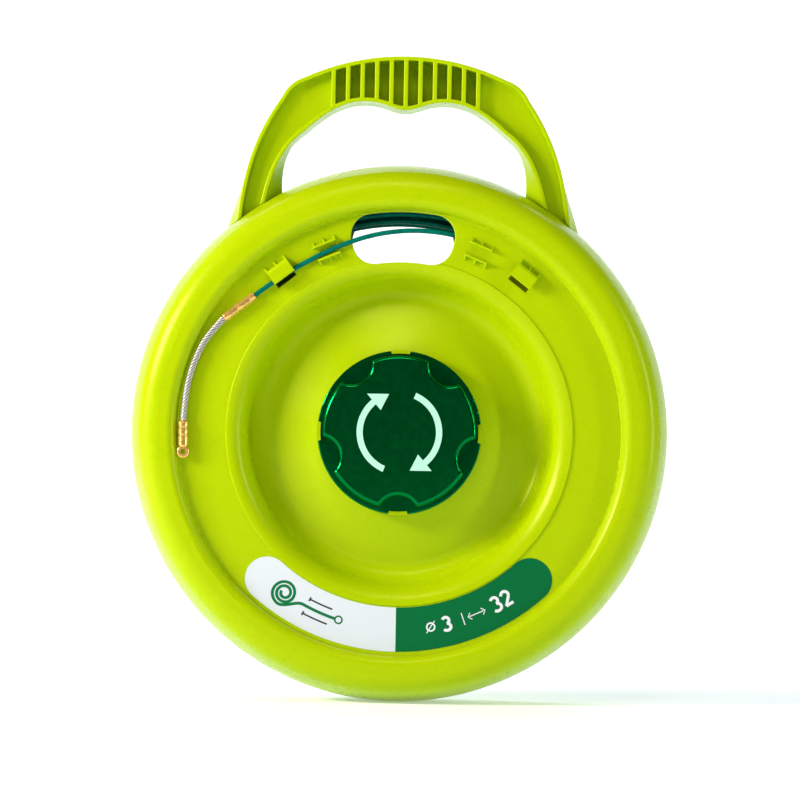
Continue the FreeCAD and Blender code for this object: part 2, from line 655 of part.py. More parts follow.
def knob_cap():
    """A round cap with five finger scallops and a rim with four notches for the hub's hooks."""
    plate_y = KNOB_BACK_Y - HUB_PLATE
    grip = disc(KNOB_DISC_R, KNOB_TOP_Y, FLANGE_TOP_Y + 1)
    for i in range(SCALLOPS):
        centre = place(180 + i * 360 / SCALLOPS, SCALLOP_CENTRE_R, 0)
        grip = grip.cut(disc(SCALLOP_R, KNOB_TOP_Y - 1, FLANGE_TOP_Y, centre))
    corners = [e for e in grip.Edges if e.BoundBox.YLength > 8 and e.BoundBox.XLength < 0.01]
    grip = grip.makeFillet(CAP_CORNER, corners)
    grip = grip.makeFillet(CAP_EDGE, [e for e in grip.Edges if e.BoundBox.YMax < KNOB_TOP_Y + 0.01])
    rim = disc(KNOB_R, FLANGE_TOP_Y, plate_y)
    rim = rim.makeFillet(CAP_FLANGE_EDGE,
                         [e for e in rim.Edges if e.BoundBox.YMax < FLANGE_TOP_Y + 0.01])
    skirt = ring(KNOB_R, SKIRT_IN_R, plate_y - 0.2, KNOB_BACK_Y + SKIRT_DROP)
    shape = fuse([grip, rim, skirt])
    shape = shape.cut(disc(CAP_BORE_R, KNOB_TOP_Y + CAP_TOP_WALL, 0))
    for i in range(CLIP_COUNT):
        notch = tab_sector(NOTCH_IN_R, KNOB_R + 10, -60, 0, NOTCH_W)
        low_notch = tab_sector(LOW_NOTCH_IN_R, KNOB_R + 10, plate_y, 0, NOTCH_W)
        for cut in (notch, low_notch):
            shape = shape.cut(turned(cut, i * 360 / CLIP_COUNT))
    return shape


def knob_emblem():
    """Two arrows in a circle, raised on the front cap: the reel winds either way."""
    pieces = []
    middle_r = (EMBLEM_IN_R + EMBLEM_OUT_R) / 2
    far = KNOB_R + 10
    middle_angle = (ARROW_START + ARROW_END) / 2
    for turn in (0, 180):
        band = ring(EMBLEM_OUT_R, EMBLEM_IN_R, KNOB_TOP_Y - EMBLEM_H, KNOB_TOP_Y)
        corner = [ORIGIN] + [place(a, far, 0) for a in (ARROW_START, middle_angle, ARROW_END)]
        wedge = prism([tuple(p) for p in corner], 120, (0, 1, 0))
        tip = [tuple(place(a, r, KNOB_TOP_Y - EMBLEM_H / 2))
               for a, r in ((ARROW_END - 1, middle_r - ARROW_HALF_W),
                            (ARROW_END - 1, middle_r + ARROW_HALF_W), (ARROW_TIP, middle_r))]
        arrow = fuse([band.common(wedge), prism(tip, EMBLEM_H, (0, 1, 0))])
        pieces.append(turned(arrow, turn))
    return Part.makeCompound(pieces)


def spec_label():
    return arc_plate(LABEL_IN_R, LABEL_OUT_R, *LABEL_ANGLES, LABEL_CORNER,
                     FACE_Y - LABEL_THICK, FACE_Y)


def tape_coil():
    """The outer shape of the coiled tape."""
    shape = ring(COIL_OUT_R, COIL_IN_R, -COIL_HALF_DEPTH, COIL_HALF_DEPTH)
    return shape.makeFillet(5.0, [e for e in shape.Edges if e.BoundBox.YLength < 0.01])


def tube(name, route, radius):
    """A round tube along straight runs joined by tangent arcs, as large as the runs allow."""
    points = [place(*p) for p in route]
    edges, radii = [], []
    last = points[0]
    for before, corner, after in zip(points, points[1:], points[2:]):
        to_a, to_b = (before - corner), (after - corner)
        shorter = min(to_a.Length, to_b.Length)
        to_a.normalize()
        to_b.normalize()
        half = to_a.getAngle(to_b) / 2
        reach = 0.45 * shorter
        bend = reach * math.tan(half)
        start, end = corner + to_a * reach, corner + to_b * reach
        middle = corner + (to_a + to_b).normalize() * (bend / math.sin(half) - bend)
        edges += [Part.LineSegment(last, start).toShape(), Part.Arc(start, middle, end).toShape()]
        radii.append(bend)
        last = end
    edges.append(Part.LineSegment(last, points[-1]).toShape())
    path = Part.Wire(edges)
    circle = Part.Circle(points[0], (points[1] - points[0]).normalize(), radius)
    shape = path.makePipeShell([Part.Wire(circle.toShape())], True, False)
    expected = math.pi * radius ** 2 * path.Length
    print(f"{name}: {path.Length:.1f} mm long, bend radii {[round(r) for r in radii]},"
          f" volume {shape.Volume:.0f} of {expected:.0f}")
    return shape


def turned_rod(profile, start, end):
    """A round solid from its profile of (distance, radius), lying from one point towards another."""
    points = [V(r, 0, d) for d, r in profile]
    wire = Part.makePolygon([V(0, 0, profile[0][0])] + points + [V(0, 0, profile[-1][0]),
                                                                V(0, 0, profile[0][0])])
    rod = Part.Face(wire).revolve(ORIGIN, V(0, 0, 1), 360)
    rod.Placement = FreeCAD.Placement(start, FreeCAD.Rotation(V(0, 0, 1), end - start))
    return rod


def crimped(length, radii, count, first, pitch):
    """The profile of a crimped sleeve: chamfered mouths and a row of shallow grooves."""
    mouth, barrel, groove = radii
    profile = [(0, mouth), (1.0, barrel)]
    for i in range(count):
        d = first + i * pitch
        profile += [(d, barrel), (d + 0.5, groove), (d + 1.3, groove), (d + 1.8, barrel)]
    return profile + [(length - 1.0, barrel), (length, mouth)]


def tape_ferrule():
    start, end = place(*TAPE_ROUTE[-1]), place(*LEADER_ROUTE[0])
    length = (end - start).Length
    return turned_rod(crimped(length, TAPE_SLEEVE, 3, 7.0, 4.2), start, end)


def tail_ferrule():
    """The sleeve on the tape's inner end, which lies against the side of the coil."""
    start = V(0.5 - TAIL_LENGTH / 2, TAIL_Y, TAIL_R)
    rod = turned_rod(crimped(TAIL_LENGTH, TAIL_SLEEVE, 2, 3.0, 5.0), start,
                     start + V(TAIL_LENGTH, 0, 0))
    return turned(rod, TAIL_ANGLE)


def eye_fitting():
    """A crimped sleeve that ends in a flat eye for the draw wire."""
    start, eye = place(*LEADER_ROUTE[-1]), place(*EYE_CENTRE)
    sleeve_length = (eye - start).Length - EYE_OUT_R + 0.8
    sleeve = turned_rod(crimped(sleeve_length, EYE_SLEEVE, 2, 3.4, 4.6), start, eye)
    eye_plate = disc(EYE_OUT_R, eye.y - EYE_THICK / 2, eye.y + EYE_THICK / 2, eye)
    eye_plate = eye_plate.makeFillet(EYE_EDGE,
                                     [e for e in eye_plate.Edges if e.BoundBox.YLength < 0.01])
    return fuse([sleeve, eye_plate]).cut(disc(EYE_HOLE_R, -60, 0, eye))


def save(name, shape):
    """Writes a node's solid, lifted so that the rim stands at Z = 0."""
    lifted = shape.copy()
    lifted.translate(V(0, 0, CASE_R))
    if not lifted.isValid():
        print(name, "isn't a valid shape")
    print(f"{name}: {len(lifted.Solids)} solids, {lifted.Volume:.0f} mm3")
    lifted.exportStep(f"parts/{name}.step")


def pair(shape):
    """A front piece and its twin at the rear, in one node."""
    return Part.makeCompound([shape, mirrored(shape)])


def main():
    os.makedirs("parts", exist_ok=True)
    tenon_cuts = [tenon(side * TENON_ANGLE, 0.1) for side in (-1, 1)]
    common = shell_common(window_cut(), tenon_cuts)
    save("front_shell", front_shell(common))
    save("rear_shell", rear_shell(common))
    save("case_screws", case_screws())
    save("carry_handle", carry_handle())
    save("front_bush", front_bush())
    save("rear_bush", mirrored(front_bush()))
    save("thrust_washers", pair(thrust_washer()))
    save("spindle", spindle())
    save("spindle_washers", pair(spindle_washer()))
    save("spindle_screws", pair(spindle_screw()))
    save("front_knob_hub", knob_hub())
    save("front_knob_cap", knob_cap())
    save("knob_emblem", knob_emblem())
    save("rear_knob_hub", mirrored(knob_hub()))
    save("rear_knob_cap", mirrored(knob_cap()))
    save("spec_label", spec_label())
    save("tape_coil", tape_coil())
    save("tape_lead", tube("tape_lead", TAPE_ROUTE, TAPE_R))
    save("tape_ferrule", tape_ferrule())
    save("tail_ferrule", tail_ferrule())
    save("steel_leader", tube("steel_leader", LEADER_ROUTE, LEADER_R))
    save("eye_fitting", eye_fitting())


main()
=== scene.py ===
import json
import math
import random

import bmesh
import bpy
from mathutils import Matrix, Vector


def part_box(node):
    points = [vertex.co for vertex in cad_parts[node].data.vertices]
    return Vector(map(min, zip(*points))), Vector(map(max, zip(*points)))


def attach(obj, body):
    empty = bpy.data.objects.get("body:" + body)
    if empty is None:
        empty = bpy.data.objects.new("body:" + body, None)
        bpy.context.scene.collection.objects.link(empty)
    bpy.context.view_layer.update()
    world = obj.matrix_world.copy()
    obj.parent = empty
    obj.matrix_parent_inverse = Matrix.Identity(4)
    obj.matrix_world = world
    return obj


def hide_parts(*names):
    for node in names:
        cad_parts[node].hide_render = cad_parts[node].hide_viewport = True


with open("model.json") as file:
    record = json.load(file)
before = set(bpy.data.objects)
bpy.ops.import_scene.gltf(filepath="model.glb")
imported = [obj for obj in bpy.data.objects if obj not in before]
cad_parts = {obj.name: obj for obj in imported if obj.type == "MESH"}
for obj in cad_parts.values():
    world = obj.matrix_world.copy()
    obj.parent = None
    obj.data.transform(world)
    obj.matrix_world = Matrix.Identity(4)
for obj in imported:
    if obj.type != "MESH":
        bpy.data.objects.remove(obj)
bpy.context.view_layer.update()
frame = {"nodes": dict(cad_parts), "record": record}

# Fish tape reel. Metres. The front faces -Y, and the case axis runs along Y.
# A place on the front is a clock angle (degrees, clockwise from the top, seen from the front),
# a distance from the case axis, and a depth along Y.
CASE_LO, CASE_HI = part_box("front_shell")
LABEL_LO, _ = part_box("spec_label")
CENTRE = Vector((0, 0, (CASE_LO.z + CASE_HI.z) / 2))


def clock_direction(angle):
    """The unit vector away from the case axis at a clock angle."""
    a = math.radians(angle)
    return Vector((math.sin(a), 0, math.cos(a)))


def place(angle, radius, depth):
    """The point at a clock angle, a distance from the case axis and a depth."""
    return CENTRE + clock_direction(angle) * radius + Vector((0, depth, 0))


def smooth_step(x):
    """0 below 0, 1 above 1, with a gentle start and end between."""
    x = min(max(x, 0.0), 1.0)
    return x * x * (3 - 2 * x)


# ---------------------------------------------------------------- camera

LENS_MM = 160.5
CAMERA_DISTANCE = 2.2
CAMERA_ELEVATION = math.radians(-1.4)
CAMERA_ROLL = math.radians(1.1)
# how far the case axis lies from the middle of the view
AXIS_RIGHT, AXIS_UP = -0.0004, -0.0205


def make_camera():
    """A long lens in front of the reel, a little below its axis."""
    data = bpy.data.cameras.new("camera")
    data.lens = LENS_MM
    data.sensor_width = 36
    data.clip_start = 0.05
    data.clip_end = 50
    camera = bpy.data.objects.new("camera", data)
    bpy.context.collection.objects.link(camera)
    away = Vector((0, -math.cos(CAMERA_ELEVATION), math.sin(CAMERA_ELEVATION)))
    turn = away.to_track_quat("Z", "Y").to_matrix() @ Matrix.Rotation(CAMERA_ROLL, 3, "Z")
    aim = CENTRE - turn @ Vector((AXIS_RIGHT, AXIS_UP, 0))
    camera.matrix_world = Matrix.Translation(aim + away * CAMERA_DISTANCE) @ turn.to_4x4()
    bpy.context.scene.camera = camera


# ---------------------------------------------------------------- materials

class Material:
    """A node material built from a Principled shader."""

    def __init__(self, name, colour, roughness, **sockets):
        self.data = bpy.data.materials.new(name)
        self.data.use_nodes = True
        self.nodes = self.data.node_tree.nodes
        self.links = self.data.node_tree.links
        self.shader = self.nodes["Principled BSDF"]
        self.shader.inputs["Base Color"].default_value = (*colour, 1)
        self.shader.inputs["Roughness"].default_value = roughness
        for socket, value in sockets.items():
            self.shader.inputs[socket.replace("_", " ")].default_value = value
        self.position = self.nodes.new("ShaderNodeTexCoord").outputs["Object"]
        self.height = None

    def node(self, kind, **settings):
        made = self.nodes.new(kind)
        for key, value in settings.items():
            setattr(made, key, value)
        return made

    def noise(self, scale, detail=3.0, roughness=0.5, stretch=(1, 1, 1), distortion=0.0):
        """Noise in the row frame, with about `scale` cells to the metre."""
        mapping = self.node("ShaderNodeMapping")
        mapping.inputs["Scale"].default_value = stretch
        texture = self.node("ShaderNodeTexNoise")
        texture.inputs["Scale"].default_value = scale
        texture.inputs["Detail"].default_value = detail
        texture.inputs["Roughness"].default_value = roughness
        texture.inputs["Distortion"].default_value = distortion
        self.links.new(self.position, mapping.inputs["Vector"])
        self.links.new(mapping.outputs["Vector"], texture.inputs["Vector"])
        return texture.outputs["Fac"]

    def ramp(self, value, low, high, from_value, to_value):
        """Maps a value from low..high to from_value..to_value, clamped."""
        made = self.node("ShaderNodeMapRange")
        made.inputs["From Min"].default_value = low
        made.inputs["From Max"].default_value = high
        made.inputs["To Min"].default_value = from_value
        made.inputs["To Max"].default_value = to_value
        self.links.new(value, made.inputs["Value"])
        return made.outputs["Result"]

    def mix(self, factor, colour_a, colour_b):
        """A colour between two, each a tuple or a socket."""
        made = self.node("ShaderNodeMix", data_type="RGBA")
        self.links.new(factor, made.inputs["Factor"])
        for socket, colour in ((made.inputs["A"], colour_a), (made.inputs["B"], colour_b)):
            self.feed(socket, colour)
        return made.outputs["Result"]

    def feed(self, socket, colour):
        if isinstance(colour, tuple):
            socket.default_value = (*colour, 1)
        else:
            self.links.new(colour, socket)

    def colour(self, value):
        self.links.new(value, self.shader.inputs["Base Color"])

    def roughen(self, value):
        self.links.new(value, self.shader.inputs["Roughness"])

    def bump(self, value, depth):
        """Adds a bump of the given depth in metres on top of those before it."""
        made = self.node("ShaderNodeBump")
        made.inputs["Strength"].default_value = 1
        made.inputs["Distance"].default_value = depth
        self.links.new(value, made.inputs["Height"])
        if self.height is not None:
            self.links.new(self.height, made.inputs["Normal"])
        self.height = made.outputs["Normal"]
        self.links.new(self.height, self.shader.inputs["Normal"])


def shade(colour, factor):
    return tuple(min(1.0, c * factor) for c in colour)


def lime_plastic():
    """Glossy moulded plastic: faint flow marks, a fine grain and slightly uneven gloss."""
    lime = (0.375, 0.55, 0.0)
    made = Material("lime_plastic", lime, 0.3, Specular_IOR_Level=0.32,
                    Specular_Tint=(0.9, 1.0, 0.25, 1), Subsurface_Weight=0.08,
                    Subsurface_Scale=0.004)
    made.shader.inputs["Subsurface Radius"].default_value = (1.0, 1.0, 0.1)
    flow = made.noise(9, detail=4, stretch=(1, 0.6, 1), distortion=0.6)
    clouds = made.ramp(flow, 0.35, 0.65, 0, 1)
    made.colour(made.mix(clouds, shade(lime, 0.98), shade(lime, 1.02)))
    made.roughen(made.ramp(made.noise(60, detail=5), 0.3, 0.7, 0.24, 0.33))
    made.bump(made.noise(1400, detail=2), 0.00002)
    made.bump(made.noise(45, detail=2), 0.00003)
    return made.data


def knob_plastic():
    """High-gloss dark green, whose reflections are tinted emerald."""
    green = (0.0, 0.17, 0.035)
    made = Material("knob_plastic", green, 0.14, Metallic=0.88,
                    Specular_Tint=(0.05, 0.85, 0.45, 1))
    made.colour(made.mix(made.ramp(made.noise(30, detail=4), 0.35, 0.65, 0, 1),
                         shade(green, 0.93), shade(green, 1.08)))
    made.roughen(made.ramp(made.noise(220, detail=5), 0.35, 0.7, 0.13, 0.18))
    made.bump(made.noise(70, detail=2), 0.00001)
    made.bump(made.noise(2600, detail=2), 0.000006)
    return made.data


def emblem_plastic():
    mint = (0.42, 0.86, 0.66)
    made = Material("emblem_plastic", mint, 0.35)
    made.colour(made.mix(made.ramp(made.noise(500, detail=3), 0.3, 0.7, 0, 1),
                         shade(mint, 0.93), shade(mint, 1.05)))
    made.bump(made.noise(2200, detail=2), 0.00001)
    return made.data


def tape_fibre():
    """Coated glass fibre: deep teal, a soft sheen, and faint scuffs."""
    teal = (0.0, 0.14, 0.098)
    made = Material("tape_fibre", teal, 0.3, Specular_IOR_Level=0.3,
                    Specular_Tint=(0.1, 1.0, 0.85, 1))
    made.colour(made.mix(made.ramp(made.noise(160, detail=5), 0.35, 0.68, 0, 1),
                         shade(teal, 0.82), shade(teal, 1.18)))
    made.roughen(made.ramp(made.noise(700, detail=4), 0.3, 0.7, 0.22, 0.42))
    made.bump(made.noise(1500, detail=3), 0.00002)
    return made.data


def brass():
    made = Material("fitting_brass", (0.9, 0.66, 0.33), 0.25, Metallic=0.85)
    patches = made.ramp(made.noise(140, detail=3), 0.3, 0.75, 0, 1)
    made.colour(made.mix(patches, (0.96, 0.62, 0.19), (0.9, 0.54, 0.14)))
    made.roughen(made.ramp(made.noise(400, detail=3), 0.3, 0.7, 0.24, 0.32))
    made.bump(made.noise(900, detail=2), 0.000003)
    return made.data


def wire_steel():
    """Bright wire with painted shade in the grooves between the strands, from how far outward a
    point faces.
    """
    made = Material("leader_steel", (0.5, 0.5, 0.49), 0.35, Metallic=0.75)
    wires = made.mix(made.ramp(made.noise(500, detail=3), 0.3, 0.7, 0, 1),
                     (0.5, 0.5, 0.49), (0.6, 0.6, 0.59))
    outward = made.node("ShaderNodeAttribute", attribute_name="outward").outputs["Fac"]
    # painted shade: near-black where a point faces into a groove between strands, the wire colour
    # where it faces outward
    made.colour(made.mix(made.ramp(outward, 0.5, 0.88, 0, 1), (0.03, 0.03, 0.028), wires))
    made.roughen(made.ramp(made.noise(1200, detail=3), 0.3, 0.7, 0.34, 0.44))
    made.bump(made.noise(5000, detail=2), 0.000003)
    return made.data


def turned_steel(name, colour, roughness):
    """Machined or plated steel with fine turning marks round the case axis."""
    made = Material(name, colour, roughness, Metallic=1.0)
    made.roughen(made.ramp(made.noise(800, detail=5, stretch=(1, 6, 1)), 0.3, 0.7,
                           roughness * 0.8, roughness * 1.4))
    made.colour(made.mix(made.noise(250, detail=4), shade(colour, 0.85), shade(colour, 1.1)))
    made.bump(made.noise(1800, detail=2, stretch=(0.3, 6, 0.3)), 0.000012)
    return made.data


def acetal():
    white = (0.8, 0.78, 0.72)
    made = Material("bush_plastic", white, 0.42, Subsurface_Weight=0.2, Subsurface_Scale=0.002)
    made.colour(made.mix(made.noise(120, detail=4), shade(white, 0.94), shade(white, 1.04)))
    made.bump(made.noise(1500, detail=3), 0.00001)
    return made.data


LABEL_GREY = (0.62, 0.72, 0.8)
LABEL_GREEN = (0.0, 0.135, 0.038)


def label_print():
    """The printed film: light grey left of the case's middle, green right of it."""
    made = Material("label_print", LABEL_GREY, 0.38, Specular_IOR_Level=0.1)
    across = made.node("ShaderNodeSeparateXYZ")
    made.links.new(made.position, across.inputs["Vector"])
    side = made.ramp(across.outputs["X"], -0.00004, 0.00004, 0, 1)
    speckle = made.noise(2500, detail=3)
    grey = made.mix(speckle, shade(LABEL_GREY, 0.97), shade(LABEL_GREY, 1.02))
    green = made.mix(speckle, shade(LABEL_GREEN, 0.9), shade(LABEL_GREEN, 1.1))
    made.colour(made.mix(side, grey, green))
    made.bump(made.noise(700, detail=4), 0.000012)
    return made.data


def ink(name, colour):
    made = Material(name, colour, 0.4, Specular_IOR_Level=0.2)
    made.colour(made.mix(made.noise(3000, detail=3), shade(colour, 0.93), shade(colour, 1.05)))
    made.bump(made.noise(900, detail=3), 0.00001)
    return made.data


MATERIALS = {
    "case_plastic": lime_plastic(),
    "knob_plastic": knob_plastic(),
    "emblem_plastic": emblem_plastic(),
    "label_print": label_print(),
    "tape_fibre": tape_fibre(),
    "fitting_brass": brass(),
    "leader_steel": wire_steel(),
    "spindle_steel": turned_steel("spindle_steel", (0.6, 0.6, 0.6), 0.25),
    "screw_steel": turned_steel("screw_steel", (0.72, 0.72, 0.7), 0.2),
    "bush_plastic": acetal(),
}


def dress_cad_nodes():
    """Gives each CAD node the material of its slot in the record."""
    for part in frame["record"]["subparts"]:
        node = frame["nodes"][part["node"]]
        for material_slot in node.material_slots:
            material_slot.material = MATERIALS[part["material_slot"]]


# ---------------------------------------------------------------- mesh helpers

def link(name, data, slot_name, body):
    """A new piece that rides on a body and takes its finish from a slot."""
    made = bpy.data.objects.new(name, data)
    bpy.context.collection.objects.link(made)
    data.materials.append(MATERIALS[slot_name])
    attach(made, body)
    return made


def mesh_from_rings(name, rings, closed_ends=True):
    """A smooth mesh through rings of points, each ring joined to the next."""
    mesh = bpy.data.meshes.new(name)
    count = len(rings[0])
    points = [p for ring in rings for p in ring]
    faces = []
    for i in range(len(rings) - 1):
        for j in range(count):
            a, b = i * count + j, i * count + (j + 1) % count
            faces.append((a, b, b + count, a + count))
    if closed_ends:
        faces.append(tuple(reversed(range(count))))
        faces.append(tuple(range((len(rings) - 1) * count, len(rings) * count)))
    mesh.from_pydata(points, [], faces)
    mesh.validate()
    for polygon in mesh.polygons:
        polygon.use_smooth = len(polygon.vertices) == 4
    return mesh


def frames_along(points):
    """(point, tangent, side, up) along a path, turning as little as possible."""
    tangents = []
    for i in range(len(points)):
        before, after = points[max(i - 1, 0)], points[min(i + 1, len(points) - 1)]
        tangents.append((after - before).normalized())
    side = tangents[0].cross(Vector((0, 1, 0))).normalized()
    found = []
    for point, tangent in zip(points, tangents):
        side = (side - tangent * side.dot(tangent)).normalized()
        found.append((point, tangent, side, tangent.cross(side)))
    return found


# ---------------------------------------------------------------- cords

TAPE_DIAMETER = 0.003
LEADER_DIAMETER = 0.0039

# The uncoiled tape, from inside the coil to its ferrule.
TAPE_ROUTE = [(60, 0.1310, -0.0095), (46, 0.1296, -0.0136), (32, 0.1281, -0.0186),
              (18.5, 0.1264, -0.0242), (5.5, 0.1246, -0.0290), (-7, 0.1222, -0.0320),
              (-19, 0.1196, -0.0325), (-31, 0.1184, -0.0325), (-40, 0.1193, -0.0327),
              (-47.7, 0.1212, -0.0334)]
# The steel leader, from the ferrule to the eye fitting.
LEADER_ROUTE = [(-58, 0.1272, -0.0336), (-62.5, 0.1295, -0.0337), (-67.7, 0.1314, -0.0338),
                (-74.5, 0.1322, -0.0339), (-81.3, 0.1320, -0.0341), (-88, 0.1315, -0.0344)]

# The coil: the tape's inner end lies against its rear side, then the turns fill one row after
# another from the rear to the front. Each row is (depth, inner radius, outer radius), and its
# turns share a slow wander (size at one and two waves a turn, and their angles).
TAIL_MOUTH = (149.48, 0.14814, 0.0148)
ROWS = [(0.0099, 0.1292, 0.1540), (0.0066, 0.1286, 0.1532), (0.0033, 0.1302, 0.1540),
        (0.0, 0.1290, 0.1536), (-0.0033, 0.1283, 0.1542), (-0.0066, 0.1294, 0.1534),
        (-0.0099, 0.1306, 0.1544)]
WANDER = 0.0011
TURN_COUNT = 35
POINTS_A_TURN = 24
CHANGE_TURNS = 0.25
CURVE_IN_POLYGON = (6 + 2 * math.cos(2 * math.pi / POINTS_A_TURN)) / 8


def coil_points():
    """Control points of the wound tape, from its tail ferrule to where it leaves the coil."""
    dice = random.Random(7)
    wander = [(dice.uniform(0.4, 1) * WANDER, dice.uniform(0, 360),
               dice.uniform(0.2, 0.6) * WANDER, dice.uniform(0, 360)) for _ in ROWS]
    step = 360 / POINTS_A_TURN
    leave_angle = TAPE_ROUTE[0][0] + 14
    swept = TURN_COUNT * 360 + TAIL_MOUTH[0] - leave_angle
    count = round(swept / step)
    turns = swept / 360
    row_turns = (turns - CHANGE_TURNS * len(ROWS)) / len(ROWS)
    points = []
    for i in range(count + 1):
        done = i / count * turns
        angle = TAIL_MOUTH[0] - i / count * swept
        row, into = divmod(done, row_turns + CHANGE_TURNS)
        row = min(int(row), len(ROWS) - 1)
        into = done - row * (row_turns + CHANGE_TURNS)
        depth, radius = row_place(row, into, row_turns)
        near, far = wander[max(row - 1, 0)], wander[row]
        blend = smooth_step(into / CHANGE_TURNS)
        fade = smooth_step(done / 0.5) * smooth_step((turns - done) / 2)
        wave = (1 - blend) * waves(near, angle) + blend * waves(far, angle)
        radius = radius / CURVE_IN_POLYGON + wave * fade
        points.append((angle, radius, depth))
    return points


def waves(wander, angle):
    """How far a row's turns stand out at a clock angle."""
    size, start, fine_size, fine_start = wander
    return (size * math.sin(math.radians(angle + start))
            + fine_size * math.sin(math.radians(2 * angle + fine_start)))


def row_place(row, into, row_turns):
    """Depth and radius, so many turns into a row. It starts with the change from the last row."""
    depth, inner, outer = ROWS[row]
    ends = (outer, inner) if row % 2 == 0 else (inner, outer)
    if into < CHANGE_TURNS:
        part = into / CHANGE_TURNS
        if row == 0:
            old_depth, old_radius = TAIL_MOUTH[2], TAIL_MOUTH[1]
            return (old_depth + (depth - old_depth) * smooth_step(part * 1.4 - 0.4),
                    old_radius + (ends[0] - old_radius) * smooth_step(part * 1.4))
        old_depth, old_inner, old_outer = ROWS[row - 1]
        old_radius = old_inner if row % 2 else old_outer
        return (old_depth + (depth - old_depth) * smooth_step(part),
                old_radius + (ends[0] - old_radius) * smooth_step(part))
    part = (into - CHANGE_TURNS) / row_turns
    return depth, ends[0] + (ends[1] - ends[0]) * part


def nurbs(name, places, bevel, resolution):
    """One open smooth curve with the given places as its control points."""
    curve = bpy.data.curves.new(name, "CURVE")
    curve.dimensions = "3D"
    curve.resolution_u = resolution
    curve.bevel_depth = bevel
    curve.bevel_resolution = 4
    curve.use_fill_caps = bevel > 0
    spline = curve.splines.new("NURBS")
    spline.points.add(len(places) - 1)
    for point, where in zip(spline.points, places):
        point.co = (*place(*where), 1)
    spline.order_u = 3
    spline.use_endpoint_u = True
    return curve


def path_of(curve):
    """The points along a curve that has no bevel."""
    guide = bpy.data.objects.new("guide", curve)
    bpy.context.collection.objects.link(guide)
    depsgraph = bpy.context.evaluated_depsgraph_get()
    mesh = bpy.data.meshes.new_from_object(guide.evaluated_get(depsgraph))
    points = [v.co.copy() for v in mesh.vertices]
    bpy.data.meshes.remove(mesh)
    bpy.data.objects.remove(guide)
    return points


def tape():
    """The whole tape: tail, wound turns, and the stretch that leaves by the window."""
    curve = nurbs("tape", coil_points() + TAPE_ROUTE, TAPE_DIAMETER / 2, 5)
    piece = link("tape", curve, "tape_fibre", "case")
    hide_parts("tape_coil", "tape_lead")
    return piece


STRANDS = 6
STRAND_WIRES = 6
LAY_LENGTH = 0.0142
STRAND_SIDES = 24
# a strand's radius against the one that would fill the rope, and its outline round the wires:
# mean size, depth of the dents between wires, and how fast the wires turn against the strand
STRAND_FILL = 0.93
OUTLINE_MEAN, OUTLINE_DENT, WIRE_TURN = 0.985, 0.03, 2.2


def strand(frames, lengths, start):
    """Rings of one strand of the wire rope, wound round the rope's path from a start angle."""
    strand_r = LEADER_DIAMETER / 6 * STRAND_FILL
    centre_r = LEADER_DIAMETER / 2 - strand_r
    rings = []
    for (point, tangent, side, up), length in zip(frames, lengths):
        turn = start + 2 * math.pi * length / LAY_LENGTH
        out = side * math.cos(turn) + up * math.sin(turn)
        around = tangent.cross(out)
        lean = centre_r * 2 * math.pi / LAY_LENGTH
        flat = (around - tangent * lean).normalized()
        centre = point + out * centre_r
        ring = []
        for k in range(STRAND_SIDES):
            a = 2 * math.pi * k / STRAND_SIDES
            dent = OUTLINE_DENT * math.cos(STRAND_WIRES * a - WIRE_TURN * turn)
            grooved = strand_r * (OUTLINE_MEAN + dent)
            ring.append(centre + (out * math.cos(a) + flat * math.sin(a)) * grooved)
        rings.append(ring)
    return rings


def leader():
    """The steel leader: strands of wires laid round each other."""
    points = path_of(nurbs("leader_path", LEADER_ROUTE, 0, 40))
    frames = frames_along(points)
    lengths = [0.0]
    for a, b in zip(points, points[1:]):
        lengths.append(lengths[-1] + (b - a).length)
    whole = bmesh.new()
    for i in range(STRANDS):
        start = 2 * math.pi * i / STRANDS
        part = mesh_from_rings(f"strand_{i}", strand(frames, lengths, start))
        whole.from_mesh(part)
        bpy.data.meshes.remove(part)
    mesh = bpy.data.meshes.new("steel_rope")
    whole.to_mesh(mesh)
    whole.free()
    # how far each point of a strand faces outward; the steel material paints shade into the grooves
    # where it is low
    outward = [0.5 + 0.5 * math.cos(2 * math.pi * k / STRAND_SIDES) for k in range(STRAND_SIDES)]
    layer = mesh.attributes.new("outward", "FLOAT", "POINT")
    layer.data.foreach_set("value", outward * (len(mesh.vertices) // STRAND_SIDES))
    piece = link("steel_rope", mesh, "leader_steel", "case")
    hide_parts("steel_leader")
    return piece, points, lengths[-1]


FERRULE_SIDES = 48
MOUTH_R = 0.00165
MOUTH_EDGE = 0.0006
BARREL_STEPS = 60
CRIMP_FLAT = 0.9
# radius, then the middle and half width of each crimp along the sleeve
FRONT_SLEEVE = (0.0027, [(0.0062, 0.0028), (0.0155, 0.0028)])
TAIL_SLEEVE = (0.0026, [(0.0068, 0.003)])


def crimped_ring(axis_point, side, up, radius, pressed):
    """One ring of a ferrule: round where it isn't pressed, six-sided where it is."""
    ring = []
    for k in range(FERRULE_SIDES):
        a = 2 * math.pi * k / FERRULE_SIDES
        off_flat = (math.degrees(a) % 60) - 30
        hexagon = CRIMP_FLAT * radius / math.cos(math.radians(off_flat))
        r = (1 - pressed) * radius + pressed * min(hexagon, radius)
        ring.append(axis_point + (side * math.cos(a) + up * math.sin(a)) * r)
    return ring


